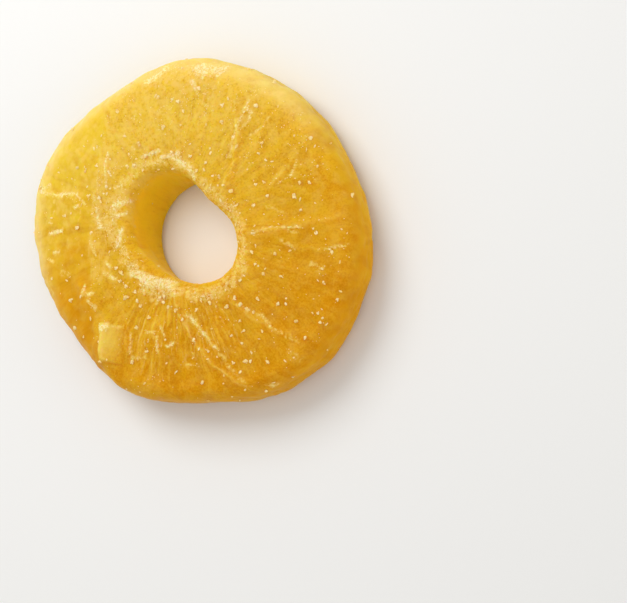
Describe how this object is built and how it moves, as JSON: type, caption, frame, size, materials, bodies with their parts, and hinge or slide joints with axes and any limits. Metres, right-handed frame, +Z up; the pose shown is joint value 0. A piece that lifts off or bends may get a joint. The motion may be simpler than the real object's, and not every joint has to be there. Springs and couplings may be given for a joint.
{
  "type": "candied pineapple ring",
  "caption": "Dried, candied fruit ring lying flat, with a rounded hole, a scalloped outline, a sloped peeled side and sugar lumps on its cut face.",
  "frame": {"origin": "on the surface that the ring lies on, under the middle of its outline", "axes": "+Z up, out of the sugared cut face; +X and +Y across the face, with the sloped peeled side towards -X"},
  "size_m": [0.0766, 0.0696, 0.0142],
  "materials": {
    "candied_flesh": "moist, translucent candied fruit with a thin frost of sugar",
    "sugar": "pale cream sugar crystals"
  },
  "bodies": {
    "root": {"pineapple_ring": "candied_flesh"}
  },
  "joints": []
}
